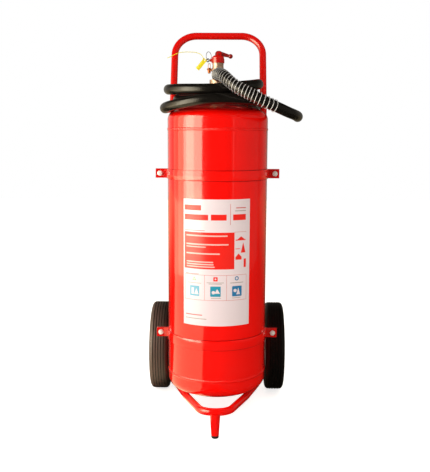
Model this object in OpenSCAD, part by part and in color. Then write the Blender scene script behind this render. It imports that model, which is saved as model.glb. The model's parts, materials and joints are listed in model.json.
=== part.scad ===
// Wheeled dry powder fire extinguisher: pressure vessel strapped to a bent tube
// trolley, lever valve, coiled discharge hose with a squeeze nozzle.
// The vessel axis is vertical, the handle is at the back (+Y), the foot in front (-Y).

/* [Vessel] */
// Outside diameter of the cylinder
vessel_d = 300; // [290:1:310]
// Wall thickness of the cylinder and its heads
vessel_wall = 4; // [3:0.5:5]
// Height of the lower circumferential weld above the floor
seam_low_z = 135; // [130:1:145]
// Height of the upper circumferential weld above the floor
seam_high_z = 873; // [860:1:880]
// Straight flange of the lower head
low_flange = 23; // [21:1:26]
// Straight flange of the upper head
high_flange = 28; // [24:1:32]
// Crown radius of both heads
crown_r = 300; // [290:1:320]
// Knuckle radius of both heads
knuckle_r = 30; // [26:1:34]
// Width of a weld bead
bead_w = 8; // [6:1:10]
// Height of a weld bead
bead_h = 1.3; // [0.8:0.1:1.6]
// Outside diameter of the threaded neck collar
collar_d = 64; // [60:1:70]
// Height of the collar above the top of the head
collar_rise = 26; // [22:1:28]

/* [Label] */
// Height of the label
label_h = 370; // [340:5:380]
// Height of the label's lower edge above the floor
label_z = 305; // [295:1:310]
// Angle that the label covers round the cylinder
label_angle = 79; // [70:1:84]
// Thickness of the label
label_t = 0.3; // [0.2:0.1:0.5]

/* [Bands] */
// Width of the band strip
band_w = 28; // [24:1:30]
// Thickness of the band strip
band_t = 3; // [3:0.5:4]
// Height of the upper band's middle
band_high_z = 741; // [735:1:760]
// Height of the lower band's middle
band_low_z = 246; // [244:1:256]
// Reach of an ear beyond the vessel's side
ear_out = 37; // [34:1:40]
// Distance of a band bolt from the vessel's side
bolt_out = 24; // [21:1:26]
// Diameter of a band bolt
bolt_d = 8; // [6:1:8]
// Gap between the two band halves
band_gap = 3; // [2:0.5:5]

/* [Frame] */
// Outside diameter of the frame tube
tube_d = 22; // [20:0.5:22.5]
// Wall thickness of the frame tube
tube_wall = 2; // [1.5:0.5:3]
// Distance of a leg's middle inside the vessel's side
leg_in = 10; // [8:0.5:12]
// Height at which the legs lean back
lean_z = 940; // [935:1:950]
// Lean of the handle
lean_angle = 26; // [24:1:28]
// Height of the grip's middle
grip_z = 1170; // [1160:1:1180]
// Bend radius of the handle's corners
grip_bend = 68; // [60:1:75]
// Drop from the axle to the joint between the legs and the foot loop
joint_drop = 34; // [31:1:36]
// Gap between the foot loop and the lower head where the loop starts to rise
loop_gap = 2.5; // [2.5:0.5:4]
// Taper of the foot loop's sides
loop_taper = 18; // [17.5:0.1:18.5]
// Bend radius where a leg turns into the foot loop
loop_bend = 42; // [40:1:45]
// Distance of the front bar from the vessel's side
foot_out = 82; // [78:1:90]
// Bend radius of the front bar's corners
front_bend = 50; // [46:1:52]
// Height of the front bar
foot_bar_z = 77; // [74:1:80]
// Diameter of the foot stem at its top
stem_top_d = 30; // [27:0.5:31]
// Diameter of the foot stem at its bottom
stem_low_d = 22.5; // [21.5:0.5:24]
// Height of the rubber tip
tip_h = 9; // [7:0.5:12]

/* [Wheels] */
// Diameter of a wheel
wheel_d = 292; // [284:1:294]
// Width of a tyre
tyre_w = 60; // [54:1:62]
// Distance of a wheel's inner face from the vessel's side
wheel_out = 10; // [8:1:12]
// Distance of the axle behind the vessel axis
axle_y = 197; // [194:1:205]
// Diameter of the axle
axle_d = 20; // [18:1:22]
// Diameter of the rim that carries the tyre
rim_d = 188; // [176:1:196]
// Outside diameter of a wheel bush
bush_d = 27; // [26:0.5:30]
// Radial running clearance of a bush
bush_gap = 0.05; // [0.03:0.01:0.09]
// Thickness of an axle bracket
bracket_t = 5; // [4:0.5:6]
// Number of grooves in the tread
groove_n = 5; // [4:1:5]

/* [Valve] */
// Diameter of the valve barrel
barrel_d = 33.5; // [32:0.5:34]
// Height of the valve barrel's shoulder above the floor
barrel_z = 1018; // [1014:1:1020]
// Height of the valve cap's lower edge above the floor
cap_z = 1067; // [1065:1:1070]
// Diameter of the valve cap
cap_d = 38; // [36:0.5:40]
// Height of the valve cap
cap_h = 25; // [24:0.5:26]
// Diameter of the valve stem
stem_d = 8; // [7:0.5:8]
// Travel of the valve stem
stem_travel = 3; // [2:0.5:3]
// Diameter of the lever's hub
hub_d = 19; // [18:0.5:20]
// Diameter of the ball knob
knob_d = 13.5; // [12:0.5:15]
// Reach of the ball knob from the lever axle
knob_reach = 34; // [32:1:38]
// Diameter of the safety pin
pin_d = 5; // [4:0.5:5]
// Turn of the lever from shut to open
lever_turn = 100; // [80:5:100]
// Outside diameter of the dip tube
dip_d = 25; // [22:1:30]

/* [Hose] */
// Outside diameter of the hose
hose_d = 30; // [28:0.5:30]
// Diameter of the guard's wire
wire_d = 1.9; // [1.6:0.1:2.4]
// Radius of the guard at the middle of its wire
guard_r = 17; // [16.8:0.1:18]
// Number of curls in the guard
guard_curls = 25; // [18:1:27]
// Diameter of the crimped ferrules
ferrule_d = 35; // [34:0.5:36]
// Length of the crimped ferrules
ferrule_l = 34; // [30:1:36]
// Diameter of the nozzle body
nozzle_d = 34; // [32:0.5:36]
// Length of the nozzle body
nozzle_l = 120; // [110:5:130]

/* [Hidden] */
$fn = 96;

// Small play between parts that touch but are not fixed
play = 0.3;
over = 1;

// Vessel
vessel_r = vessel_d / 2;
dish_h = crown_r - sqrt(pow(crown_r - knuckle_r, 2) - pow(vessel_r - knuckle_r, 2));
top_z = seam_high_z + high_flange + dish_h;
bottom_z = seam_low_z - low_flange - dish_h;
collar_top = top_z + collar_rise;
collar_low = top_z - 14;
neck_bore_r = 20;

// Bands
ear_reach = vessel_r + ear_out;
bolt_x = vessel_r + bolt_out;
band_cut = 3 * vessel_d;

// Frame
tube_r = tube_d / 2;
wheel_r = wheel_d / 2;
wheel_in_x = vessel_r + wheel_out;
leg_x = vessel_r - leg_in;
leg_joint_z = wheel_r - joint_drop;
foot_y = vessel_r + foot_out;
leg_y = sqrt(pow(vessel_r + band_t + tube_r, 2) - pow(leg_x, 2));
grip_lift = (grip_z - lean_z) / cos(lean_angle);
grip_y = leg_y + grip_lift * sin(lean_angle);
loop_break_y = -60;
loop_break_bend = 160;
lean_bend = 60;
loop_break_x = leg_x - (leg_y - loop_break_y) * tan(loop_taper);
front_corner_x = leg_x - (leg_y + foot_y) * tan(loop_taper);
loop_z = bottom_z + crown_r
    - sqrt(pow(crown_r + tube_r + loop_gap, 2) - pow(loop_break_x, 2) - pow(loop_break_y, 2));
wheel_mid_x = wheel_in_x + tyre_w / 2;
axle_half = wheel_in_x + tyre_w + 7;
bracket_x = leg_x;
boss_r = 16;
boss_rise = 3;
plate_rise = 85;
nose_r = 19;

// The origin is on the floor below the middle of the trolley
tip_r = stem_low_d / 2 - 0.4;
origin_y = (axle_y + wheel_r - foot_y - stem_top_d / 2) / 2;

// Valve
hub_x = 3.4;
hub_z = cap_z + cap_h + 0.5;
pin_z = cap_z + 8;
arm_drop = 10;
knob_x = hub_x + knob_reach * cos(arm_drop);
knob_z = hub_z - knob_reach * sin(arm_drop);
slot_w = 12.6;
stem_top = hub_z - hub_d / 2 - play;
seat_z = barrel_z + 14;
spring_low_z = seat_z - 24;
valve_bore_r = 9.5;
inlet_r = 6;
gasket_t = 2;
hex_h = 14;
hex_r = 29;
shoulder_r = 25;
outlet_l = 30;
outlet_r = 11;
outlet_bore_r = 7;
port_l = 19;
port_r = 5;
groove_drop = 9;
groove_deep = 1;
groove_high = 2.5;
outlet_z = barrel_z + 10;
port_z = barrel_z + 29;
port_x = -26;
eye_x = -30;
ring_turn = 54;
tag_y = -2.6;

// Hose: lead from the valve to the coil. Its points give the way across a plane that slopes
// down to the right, the way back and the lift off that plane.
hose_r = hose_d / 2;
lead_slope = 26.7;
lead_start = [0, -48, outlet_z];
lead_flat = [
    [0, -48, 0], [0, -72, 0], [3, -101, 1], [12, -132, 1], [24, -156, -2],
    [41, -174, -9], [65, -186, -14], [93, -192, -15], [122, -193, -15], [158, -187, -14],
    [192, -172, -11], [222, -148, -8], [244, -116, -4], [258, -78, -1], [263, -39, 0],
    [263, -8, 3], [258, 26, 5], [245, 58, 8], [225, 86, 9], [198, 110, 8], [166, 127, 6],
    [131, 133, 4]
];
lead_rise = [[90, 138, 983], [66, 142, 992]];
tail_route = [
    [62, 133, 949], [51, 152, 945], [42, 172, 934], [35, 189, 915], [31, 201, 890],
    [30, 206, 860], [33, 207, 825], [43, 204, 774], [60, 198, 715], [78, 192, 660],
    [94, 186, 600], [104, 182, 540], [108, 180, 480], [108, 180, 420], [108, 180, 370],
    [108, 180, 325], [101, 180, 275], [77, 180, 231], [37, 180, 201], [-10, 180, 191],
    [-57, 180, 201], [-97, 180, 231], [-121, 180, 275], [-128, 180, 325], [-128, 180, 370],
    [-128, 180, 420], [-128, 180, 480], [-128, 180, 540]
];
nozzle_in = 12;
nozzle_x = nozzle_in - leg_x;
nozzle_y = 180;
nozzle_z = 600;

// Coil: distance from its middle and height above the top of the dome at each eighth of a turn
coil_x = -10;
coil_y = -10;
coil_first = 90;
coil_per_turn = 8;
coil_r = [
    146, 143, 136, 132, 130, 130, 130, 123,
    115, 111, 108, 108, 112, 117, 120, 119,
    118, 131, 146, 148, 145, 147, 141, 144
];
coil_z = [
    38, 39, 30, 26, 25, 36, 46, 42,
    32, 17, 1, -4, -2, 7, 15, 10,
    -2, -11, -25, -17, -2, -3, -10, -10
];
coil_rings = 24;
coil_stations = len(coil_r) - 1;

// ---------- small functions ----------
function unit(v) = v / norm(v);
function at_end(list, i) = list[max(0, min(len(list) - 1, i))];

// Catmull-Rom value of a list between stations i and i + 1
function blend(list, i, f) =
    let (
        a = i > 0 ? list[i - 1] : 2 * list[0] - list[1],
        b = list[i],
        c = at_end(list, i + 1),
        d = i + 2 < len(list) ? list[i + 2] : 2 * c - b
    )
    0.5 * (2 * b + (c - a) * f + (2 * a - 5 * b + 4 * c - d) * f * f
        + (3 * b - a - 3 * c + d) * f * f * f);
function along(list, u) =
    let (i = min(floor(u), len(list) - 2))
    blend(list, i, u - i);
function tangent_at(path, i) =
    unit(at_end(path, i + 1) - at_end(path, i - 1));

// Tube of ring after ring along a path; the first ring's side points along "side"
function carried(n, t) = unit(n - t * (n * t));
function ring_normals(path, side) = [
    for (
        i = 0, n = carried(side, tangent_at(path, 0));
        i < len(path);
        i = i + 1, n = carried(n, tangent_at(path, i))
    ) n
];
module sweep(path, r, sides, side) {
    count = len(path);
    normals = ring_normals(path, side);
    points = [
        for (i = [0 : count - 1], k = [0 : sides - 1])
            let (
                t = tangent_at(path, i),
                n = normals[i],
                a = 360 * k / sides
            )
            path[i] + r * (n * cos(a) + cross(t, n) * sin(a))
    ];
    walls = [
        for (i = [0 : count - 2], k = [0 : sides - 1], half = [0, 1])
            let (
                a = i * sides + k,
                b = i * sides + (k + 1) % sides
            )
            half == 0 ? [a, a + sides, b] : [b, a + sides, b + sides]
    ];
    start = [for (k = [1 : sides - 2]) [0, k, k + 1]];
    last = (count - 1) * sides;
    finish = [for (k = [1 : sides - 2]) [last, last + k + 1, last + k]];
    polyhedron(points, concat(walls, start, finish), convexity = 10);
}

// Least distance between points of a path that are at least "skip" rings apart
function least_gap(path, skip) = min([
    for (i = [0 : len(path) - 1 - skip], j = [i + skip : len(path) - 1])
        norm(path[i] - path[j])
]);

// ---------- hose routes ----------
function on_slope(p) = [
    lead_start[0] + p[0] * cos(lead_slope),
    p[1],
    lead_start[2] - p[0] * sin(lead_slope) + p[2]
];
function coil_point(eighths) =
    let (
        a = coil_first + 360 / coil_per_turn * eighths,
        r = along(coil_r, eighths)
    )
    [coil_x + r * cos(a), coil_y + r * sin(a), top_z + along(coil_z, eighths)];

coil_step = coil_per_turn / coil_rings;
coil_turns = [for (q = [0 : coil_step : coil_stations + 0.001]) coil_point(q)];
coil_in_dir = unit(coil_turns[1] - coil_turns[0]);
coil_out_dir = unit(coil_turns[len(coil_turns) - 1] - coil_turns[len(coil_turns) - 2]);
coil_in = coil_turns[0] - coil_in_dir * hose_d;
coil_out = coil_turns[len(coil_turns) - 1] + coil_out_dir * hose_d;
coil_path = concat([coil_in], coil_turns, [coil_out]);

lead_points = concat([for (p = lead_flat) on_slope(p)], lead_rise,
    [coil_in - coil_in_dir * 25, coil_in]);
lead_path = [for (u = [0 : 0.5 : len(lead_points) - 0.9]) along(lead_points, u)];
tail_last = len(tail_route) - 1;
tail_shift = [nozzle_x - tail_route[tail_last][0], 0, 0];
tail_moved = [for (i = [0 : tail_last]) tail_route[i] + tail_shift * i / tail_last];
tail_points = concat([coil_out], tail_moved,
    [[nozzle_x, nozzle_y, nozzle_z - hose_d], [nozzle_x, nozzle_y, nozzle_z]]);
tail_path = [for (u = [0 : 1 : len(tail_points) - 1]) along(tail_points, u)];

// Guard: curls round the first part of the lead
slope_normal = [sin(lead_slope), 0, cos(lead_slope)];
guard_first = 1.5;
guard_last = 9.7;
guard_steps = guard_curls * 12;
guard_path = [
    for (k = [0 : guard_steps])
        let (
            u = guard_first + (guard_last - guard_first) * k / guard_steps,
            c = along(lead_points, u),
            t = unit(along(lead_points, u + 0.02) - along(lead_points, u - 0.02)),
            side = cross(slope_normal, t),
            a = 30 * k
        )
        c + guard_r * (side * cos(a) + slope_normal * sin(a))
];

function path_length(path) = let (
        steps = [for (i = [1 : len(path) - 1]) norm(path[i] - path[i - 1])]
    ) steps * [for (s = steps) 1];

echo(hose_lengths_mm = [path_length(lead_path), path_length(coil_path), path_length(tail_path)]);
echo(coil_gap_mm = least_gap(coil_path, 8) - hose_d);
echo(guard_gap_mm = least_gap(guard_path, 8) - wire_d);

// ---------- shared shapes ----------
// Cylinder from point a to point b
module rod(a, b, r) {
    d = b - a;
    len = norm(d);
    translate(a)
        rotate([0, acos(d[2] / len), atan2(d[1], d[0])])
            cylinder(h = len, r = r);
}

// Turns that bring the axes onto x, y and z
function turns_to(x, y, z) =
    abs(x[2]) > 0.9999 ? [0, -90 * sign(x[2]), atan2(-y[0], y[1])]
        : [atan2(y[2], z[2]), -asin(x[2]), atan2(x[1], x[0])];

// Bend at corner c, from direction a into direction b
module tube_bend(c, a, b, bend_r, r, wall) {
    turn = acos(a * b);
    inward = unit(b - a * (a * b));
    mid = c - a * (bend_r * tan(turn / 2)) + inward * bend_r;
    translate(mid)
        rotate(turns_to(-inward, a, cross(-inward, a)))
            rotate_extrude(angle = turn)
                translate([bend_r, 0])
                    difference() {
                        circle(r, $fn = 48);
                        circle(r - wall, $fn = 48);
                    }
}

// Straight tube from point a to point b
module tube_run(a, b, r, wall) {
    difference() {
        rod(a, b, r, $fn = 48);
        rod(a - unit(b - a), b + unit(b - a), r - wall, $fn = 48);
    }
}

// Tube through points, with the bend radius given for each inner corner. Each straight run
// is a hair thinner than the bends and reaches a little way into them.
module bent_tube(points, radii, r, wall) {
    hair = 0.1;
    lap = 1;
    last = len(points) - 1;
    dirs = [for (i = [0 : last - 1]) unit(points[i + 1] - points[i])];
    cut = [
        for (i = [0 : last])
            (i == 0 || i == last) ? 0
                : radii[i - 1] * tan(acos(dirs[i - 1] * dirs[i]) / 2) - lap
    ];
    for (i = [0 : last - 1])
        tube_run(points[i] + dirs[i] * cut[i], points[i + 1] - dirs[i] * cut[i + 1],
            r - hair, wall - 2 * hair);
    for (i = [1 : last - 1])
        tube_bend(points[i], dirs[i - 1], dirs[i], radii[i - 1], r, wall);
}

module ring(outer_r, inner_r, h) {
    difference() {
        cylinder(h = h, r = outer_r);
        translate([0, 0, -over]) cylinder(h = h + 2 * over, r = inner_r);
    }
}

module along_x(x) {
    translate([x, 0, 0]) rotate([0, 90, 0]) children();
}

module mirror_pair() {
    children();
    mirror([1, 0, 0]) children();
}

// Half section of a dished head that stands on its flange
module head_section(r, crown, knuckle, flange) {
    depth = crown - sqrt(pow(crown - knuckle, 2) - pow(r - knuckle, 2));
    touch_x = (r - knuckle) * crown / (crown - knuckle);
    square([r, flange]);
    translate([r - knuckle, flange])
        intersection() {
            circle(knuckle);
            translate([-knuckle, 0]) square([2 * knuckle, knuckle]);
        }
    intersection() {
        translate([0, flange + depth - crown]) circle(crown, $fn = 240);
        translate([0, flange]) square([touch_x, depth + over]);
    }
}

module head(flange) {
    rotate_extrude($fn = 180)
        difference() {
            head_section(vessel_r, crown_r, knuckle_r, flange);
            head_section(vessel_r - vessel_wall, crown_r - vessel_wall,
                knuckle_r - vessel_wall, flange);
            translate([0, -over]) square([vessel_r - vessel_wall, over]);
        }
}

// ---------- vessel ----------
module vessel_shell() {
    color("#d8231a")
        translate([0, 0, seam_low_z])
            ring(vessel_r, vessel_r - vessel_wall, seam_high_z - seam_low_z, $fn = 180);
}

module head_top() {
    color("#d8231a")
        difference() {
            translate([0, 0, seam_high_z]) head(high_flange);
            translate([0, 0, collar_low - over]) cylinder(h = 60, r = collar_d / 2);
        }
}

module head_bottom() {
    color("#d8231a")
        translate([0, 0, seam_low_z]) mirror([0, 0, 1]) head(low_flange);
}

module weld_beads() {
    color("#c81f17")
        for (z = [seam_low_z, seam_high_z])
            translate([0, 0, z])
                rotate_extrude($fn = 180)
                    translate([vessel_r, 0])
                        polygon([
                            [0, -bead_w / 2], [bead_h, -bead_w / 4],
                            [bead_h, bead_w / 4], [0, bead_w / 2]
                        ]);
}

module neck_collar() {
    color("#d8231a")
        translate([0, 0, collar_low])
            ring(collar_d / 2, neck_bore_r, collar_top - collar_low);
}

module label() {
    color("white")
        translate([0, 0, label_z])
            rotate([0, 0, -90 - label_angle / 2])
                rotate_extrude(angle = label_angle, $fn = 180)
                    translate([vessel_r, 0]) square([label_t, label_h]);
}

module dip_tube() {
    low = bottom_z + vessel_wall + 22;
    color("gainsboro")
        translate([0, 0, low]) ring(dip_d / 2, dip_d / 2 - 2, collar_low - low);
}

// ---------- valve ----------
module valve_body() {
    flange_z = collar_top + gasket_t;
    color("#cfc3a8")
        difference() {
            union() {
                translate([0, 0, collar_low]) cylinder(h = flange_z - collar_low, r = neck_bore_r);
                translate([0, 0, flange_z]) cylinder(h = hex_h, r = hex_r, $fn = 6);
                translate([0, 0, flange_z + hex_h])
                    cylinder(h = barrel_z - flange_z - hex_h, r = shoulder_r);
                translate([0, 0, barrel_z]) cylinder(h = cap_z - barrel_z, r = barrel_d / 2);
                translate([0, 0, outlet_z]) rotate([90, 0, 0]) cylinder(h = outlet_l, r = outlet_r);
                translate([0, 0, port_z]) rotate([0, -90, 0]) cylinder(h = port_l, r = port_r);
            }
            translate([0, 0, collar_low - over])
                cylinder(h = spring_low_z - collar_low + 2 * over, r = inlet_r);
            translate([0, 0, spring_low_z])
                cylinder(h = seat_z - spring_low_z, r = valve_bore_r);
            translate([0, 0, seat_z - over])
                cylinder(h = cap_z - seat_z + 2 * over, r = stem_d / 2 + 0.05);
            translate([0, 0, outlet_z]) rotate([90, 0, 0])
                cylinder(h = outlet_l + over, r = outlet_bore_r);
            translate([0, 0, cap_z - groove_drop])
                ring(barrel_d / 2 + over, barrel_d / 2 - groove_deep, groove_high);
        }
}

module valve_gasket() {
    color("#1c1c1c")
        translate([0, 0, collar_top]) ring(shoulder_r + 1, neck_bore_r, gasket_t);
}

module valve_cap() {
    cheek_y = slot_w / 2;
    color("#d8231a")
        difference() {
            union() {
                translate([0, 0, cap_z]) cylinder(h = 9, r = cap_d / 2);
                translate([0, 0, cap_z + 9])
                    intersection() {
                        translate([0, 0, -8]) sphere(r = 24);
                        cylinder(h = cap_h - 9, r = cap_d / 2);
                    }
                for (s = [-1, 1])
                    translate([hub_x, s * (cheek_y + 2.2), hub_z])
                        rotate([90, 0, 0]) cylinder(h = 4.4, r = 7, center = true);
                translate([0, 0, pin_z]) rotate([0, -90, 0]) cylinder(h = 23, r = 4.6);
            }
            translate([-13, -cheek_y, cap_z + 11]) cube([40, slot_w, 40]);
            translate([0, 0, cap_z - over]) cylinder(h = 40, r = stem_d / 2 + 0.05);
            translate([hub_x, 0, hub_z]) rotate([90, 0, 0])
                cylinder(h = 40, r = 2.5, center = true);
            translate([0, 0, pin_z]) rotate([0, -90, 0]) cylinder(h = 30, r = pin_d / 2 + 0.05);
        }
}

module valve_stem() {
    color("silver") {
        translate([0, 0, seat_z - 4]) cylinder(h = stem_top - seat_z + 4, r = stem_d / 2);
        translate([0, 0, seat_z - 8]) cylinder(h = 4, r = 8);
    }
}

module stem_seal() {
    color("#1c1c1c")
        translate([0, 0, seat_z - 4]) ring(8, stem_d / 2, 4 - play);
}

module valve_spring() {
    curls = 5;
    low = spring_low_z;
    high = seat_z - 8 - play;
    wire_r = 0.8;
    path = [
        for (k = [0 : curls * 8])
            [6.5 * cos(45 * k), 6.5 * sin(45 * k),
                low + wire_r + (high - low - 2 * wire_r) * k / (curls * 8)]
    ];
    color("silver") sweep(path, wire_r, 6, [0, 0, 1]);
}

// The arm's hub carries a round cam, set off its axle, that presses the stem down
module lever_arm() {
    grip_h = 8;
    grip_w = 9;
    cam_r = hub_d / 2 - 0.1;
    cam_off = stem_travel - 0.2;
    arm_end = knob_reach - 4;
    color("#c01d16")
        translate([hub_x, 0, hub_z])
            rotate([90, 0, 0])
                difference() {
                    union() {
                        cylinder(h = slot_w - 2 * play, r = hub_d / 2, center = true);
                        rotate([0, 0, -90 - lever_turn])
                            translate([cam_off, 0, 0])
                                cylinder(h = 5, r = cam_r, center = true);
                        rotate([0, 0, -arm_drop])
                            translate([0, 0, -grip_w / 2])
                                linear_extrude(height = grip_w)
                                    polygon([
                                        [4, 8.4], [arm_end - 8, grip_h / 2 + 1.5],
                                        [arm_end, grip_h / 2], [arm_end, -grip_h / 2],
                                        [6, -4.5]
                                    ]);
                    }
                    cylinder(h = 40, r = 2.55, center = true);
                    rotate([0, 0, -arm_drop])
                        translate([knob_reach, 0, 0]) sphere(r = knob_d / 2);
                }
}

module lever_knob() {
    color("#a81812") translate([knob_x, 0, knob_z]) sphere(r = knob_d / 2);
}

module lever_axle() {
    color("silver")
        translate([hub_x, 0, hub_z]) rotate([90, 0, 0]) {
            cylinder(h = slot_w + 8.8 + 2, r = 2.5, center = true);
            translate([0, 0, slot_w / 2 + 4.4]) cylinder(h = 1.6, r = 3.1);
        }
}

module safety_pin() {
    color("silver") {
        rod([eye_x + 3, 0, pin_z], [-stem_d / 2 - play, 0, pin_z], pin_d / 2);
        translate([eye_x, 0, pin_z]) rotate([90, 0, 0])
            rotate_extrude() translate([4.2, 0]) circle(r = 1.5, $fn = 32);
    }
}

// Wire ring that passes through the pin's eye and leans on the cap's side
module pull_ring() {
    ring_r = 12.5;
    shift = 4;
    color("#5a5a5a")
        translate([eye_x, 0, pin_z + 0.5])
            rotate([0, 0, ring_turn])
                translate([shift, 0, sqrt(pow(ring_r, 2) - pow(shift, 2))])
                    rotate([90, 0, 0])
                        rotate_extrude() translate([ring_r, 0]) circle(r = 0.75, $fn = 32);
}

module seal_tag() {
    color("gold")
        translate([eye_x - 7, tag_y, pin_z + 3])
            rotate([0, 40, 0])
                translate([-6, -0.75, -38])
                    difference() {
                        cube([12, 1.5, 38]);
                        translate([6, -over, 34]) rotate([-90, 0, 0])
                            cylinder(h = 4, r = 1.6, $fn = 24);
                    }
}

module seal_tail() {
    points = [
        [-13, -2, 2], [-16, -2.4, 11], [-24, -3, 18], [-36, -4, 22], [-52, -5, 23],
        [-68, -5, 23], [-84, -5, 21], [-98, -4, 16], [-110, -3, 10], [-120, -2, 6]
    ];
    path = [for (u = [0 : 0.5 : len(points) - 0.9]) along(points, u)];
    color("gold") sweep([for (p = path) p + [eye_x, tag_y, pin_z]], 0.9, 6, [0, 1, 0]);
}

module relief_fitting() {
    color("#b4552c") {
        translate([port_x, 0, port_z - 10]) cylinder(h = 11, r1 = 3.5, r2 = 6);
        translate([port_x, 0, port_z + 1]) cylinder(h = 3, r = 7, $fn = 6);
        rod([port_x, 0, port_z], [-port_l, 0, port_z], port_r - 1);
        translate([port_x, 0, port_z + 4]) cylinder(h = 2, r = 4.5);
        for (x = [-3, 3])
            rod([port_x + x, 0, port_z + 6], [port_x + x, 0, pin_z - 10], 0.8, $fn = 16);
        rod([port_x - 3, 0, pin_z - 10], [port_x + 3, 0, pin_z - 10], 0.8, $fn = 16);
    }
}

// ---------- hose ----------
lead_dir = unit(lead_points[1] - lead_points[0]);
ferrule_from = lead_points[0] + lead_dir * play;

module outlet_coupling() {
    color("#cfc3a8")
        difference() {
            rod([0, -outlet_l, outlet_z], lead_points[0], outlet_r + 2);
            rod([0, -outlet_l + over, outlet_z], lead_points[0] + lead_dir * 4, outlet_bore_r);
        }
}

module hose_ferrule() {
    color("#9a9a9c")
        difference() {
            rod(ferrule_from, ferrule_from + lead_dir * ferrule_l, ferrule_d / 2);
            rod(ferrule_from - lead_dir, ferrule_from + lead_dir * (ferrule_l + 1), hose_r);
        }
}

module spring_guard() {
    color("silver") sweep(guard_path, wire_d / 2, 6, slope_normal);
}

module hose_lead() {
    color("#1a1a1a") sweep(lead_path, hose_r, 10, slope_normal);
}

module hose_coil() {
    color("#1a1a1a") sweep(coil_path, hose_r, 6, [0, 0, 1]);
}

module hose_tail() {
    color("#1a1a1a") sweep(tail_path, hose_r, 10, [0, 0, 1]);
}

// ---------- nozzle, upright behind the vessel ----------
trigger_z = nozzle_z + ferrule_l + 34;
nozzle_end = nozzle_z + ferrule_l + nozzle_l;
trigger_out = nozzle_d / 2 + 6;

module at_nozzle(z) {
    translate([nozzle_x, nozzle_y, z]) children();
}

module nozzle_ferrule() {
    color("#9a9a9c")
        at_nozzle(nozzle_z)
            cylinder(h = ferrule_l, r = ferrule_d / 2);
}

module at_trigger() {
    at_nozzle(trigger_z) translate([0, trigger_out, 0]) children();
}

module nozzle_body() {
    lug_t = 4;
    color("#1d1d1f")
        difference() {
            union() {
                at_nozzle(nozzle_z + ferrule_l) cylinder(h = nozzle_l, r = nozzle_d / 2);
                for (s = [-1, 1])
                    at_trigger()
                        translate([s * 7.5, 0, 0]) {
                            rotate([0, 90, 0]) cylinder(h = lug_t, r = 7, center = true);
                            translate([-lug_t / 2 + 0.2, -14, -6]) cube([lug_t - 0.4, 14, 12]);
                        }
            }
            at_nozzle(nozzle_z + ferrule_l - over) cylinder(h = nozzle_l + 2 * over, r = 9);
            at_trigger() along_x(-15) cylinder(h = 30, r = 2);
        }
}

module nozzle_tip() {
    color("#8c6a2f")
        difference() {
            union() {
                at_nozzle(nozzle_end) cylinder(h = 12, r = nozzle_d / 2 - 2);
                at_nozzle(nozzle_end + 12) cylinder(h = 60, r1 = nozzle_d / 2 - 4, r2 = 9);
            }
            at_nozzle(nozzle_end - over) cylinder(h = 80, r = 5.5);
        }
}

module nozzle_trigger() {
    color("#c01d16")
        at_trigger()
            difference() {
                union() {
                    rotate([0, 90, 0]) cylinder(h = 10, r = 5.5, center = true);
                    rotate([-14, 0, 0]) translate([-4.9, -1, 0]) cube([9.8, 5, 82]);
                }
                rotate([0, 90, 0]) cylinder(h = 20, r = 2.05, center = true);
            }
}

module trigger_pin() {
    color("silver") at_trigger() along_x(-11) cylinder(h = 22, r = 2);
}

module nozzle_clip() {
    clip_z = nozzle_end - 26;
    inner = nozzle_d / 2 + play;
    color("#d8231a")
        difference() {
            union() {
                at_nozzle(clip_z) ring(inner + 3, inner, 20);
                translate([-leg_x - 2, leg_y, clip_z])
                    cube([4, nozzle_y - leg_y - inner + 6, 20]);
            }
            translate([-leg_x, leg_y, clip_z - over]) cylinder(h = 22, r = tube_r);
            at_nozzle(clip_z - over) cylinder(h = 22, r = inner);
            at_nozzle(clip_z - over) translate([-12, 0, 0]) cube([24, 40, 22]);
        }
}

// ---------- trolley frame ----------
module handle_frame() {
    corner_l = [-leg_x, grip_y, grip_z];
    corner_r = [leg_x, grip_y, grip_z];
    color("#d8231a")
        bent_tube(
            [
                [-leg_x, leg_y, leg_joint_z], [-leg_x, leg_y, lean_z], corner_l,
                corner_r, [leg_x, leg_y, lean_z], [leg_x, leg_y, leg_joint_z]
            ],
            [lean_bend, grip_bend, grip_bend, lean_bend], tube_r, tube_wall
        );
}

// Loop that carries the front foot: from the legs forward under the vessel
loop_side = [loop_break_x, loop_break_y, loop_z];
loop_front = [front_corner_x, -foot_y, foot_bar_z];
function left_of(p) = [-p[0], p[1], p[2]];

module foot_loop() {
    color("#d8231a")
        bent_tube(
            [
                [-leg_x, leg_y, leg_joint_z], [-leg_x, leg_y, loop_z],
                left_of(loop_side), left_of(loop_front), loop_front,
                loop_side, [leg_x, leg_y, loop_z], [leg_x, leg_y, leg_joint_z]
            ],
            [loop_bend, loop_break_bend, front_bend, front_bend, loop_break_bend, loop_bend],
            tube_r, tube_wall
        );
}

module foot_stem() {
    stem_end_z = foot_bar_z - 4;
    core_r = 1;
    color("#d8231a")
        difference() {
            translate([0, -foot_y, tip_h])
                cylinder(h = stem_end_z - tip_h, r1 = stem_low_d / 2, r2 = stem_top_d / 2);
            bent_tube([left_of(loop_side), left_of(loop_front), loop_front, loop_side],
                [front_bend, front_bend], tube_r, tube_r - core_r);
        }
}

module foot_tip() {
    round_r = 4;
    color("#1c1c1c")
        translate([0, -foot_y, 0])
            rotate_extrude() {
                translate([0, round_r]) square([tip_r, tip_h - round_r]);
                square([tip_r - round_r, tip_h]);
                translate([tip_r - round_r, round_r])
                    intersection() {
                        circle(round_r);
                        translate([0, -round_r]) square([round_r, 2 * round_r]);
                    }
            }
}

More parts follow.
